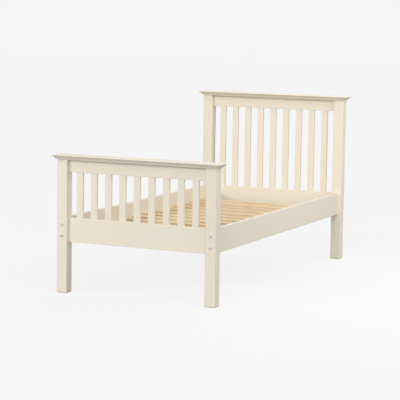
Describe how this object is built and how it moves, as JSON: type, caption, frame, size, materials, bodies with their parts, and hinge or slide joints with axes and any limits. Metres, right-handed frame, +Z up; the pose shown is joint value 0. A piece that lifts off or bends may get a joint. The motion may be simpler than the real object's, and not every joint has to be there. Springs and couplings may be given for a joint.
{
  "type": "bed frame",
  "caption": "Painted wooden bed frame with slatted head and foot panels, moulded caps, bolted side rails and a slatted mattress base.",
  "frame": {"origin": "on the floor at the centre of the footprint", "axes": "+X to the right as seen from the foot end, +Y from the foot to the head, +Z up"},
  "size_m": [1.052, 2.082, 1.068],
  "materials": {
    "cream_paint": "satin paint",
    "bare_pine": "planed",
    "dowel_wood": "planed",
    "zinc_steel": "zinc plated",
    "cream_plastic": "satin"
  },
  "bodies": {
    "root": {"foot_post_left": "cream_paint", "foot_post_right": "cream_paint", "foot_top_rail": "cream_paint", "foot_bottom_rail": "cream_paint", "foot_cap": "cream_paint", "foot_slat_1": "cream_paint", "foot_slat_2": "cream_paint", "foot_slat_3": "cream_paint", "foot_slat_4": "cream_paint", "foot_slat_5": "cream_paint", "foot_slat_6": "cream_paint", "foot_slat_7": "cream_paint", "foot_slat_8": "cream_paint", "foot_slat_9": "cream_paint", "head_post_left": "cream_paint", "head_post_right": "cream_paint", "head_top_rail": "cream_paint", "head_bottom_rail": "cream_paint", "head_cap": "cream_paint", "head_slat_1": "cream_paint", "head_slat_2": "cream_paint", "head_slat_3": "cream_paint", "head_slat_4": "cream_paint", "head_slat_5": "cream_paint", "head_slat_6": "cream_paint", "head_slat_7": "cream_paint", "head_slat_8": "cream_paint", "head_slat_9": "cream_paint", "side_rail_left": "cream_paint", "side_rail_right": "cream_paint", "bearer_left": "bare_pine", "bearer_right": "bare_pine", "base_slat_1": "bare_pine", "base_slat_2": "bare_pine", "base_slat_3": "bare_pine", "base_slat_4": "bare_pine", "base_slat_5": "bare_pine", "base_slat_6": "bare_pine", "base_slat_7": "bare_pine", "base_slat_8": "bare_pine", "base_slat_9": "bare_pine", "base_slat_10": "bare_pine", "base_slat_11": "bare_pine", "base_slat_12": "bare_pine", "base_slat_13": "bare_pine", "rail_bolts": "zinc_steel", "barrel_nuts": "zinc_steel", "bolt_cover_caps": "cream_plastic", "rail_dowels": "dowel_wood", "cap_dowels": "dowel_wood", "bearer_screws": "zinc_steel", "base_slat_screws": "zinc_steel"}
  },
  "joints": []
}
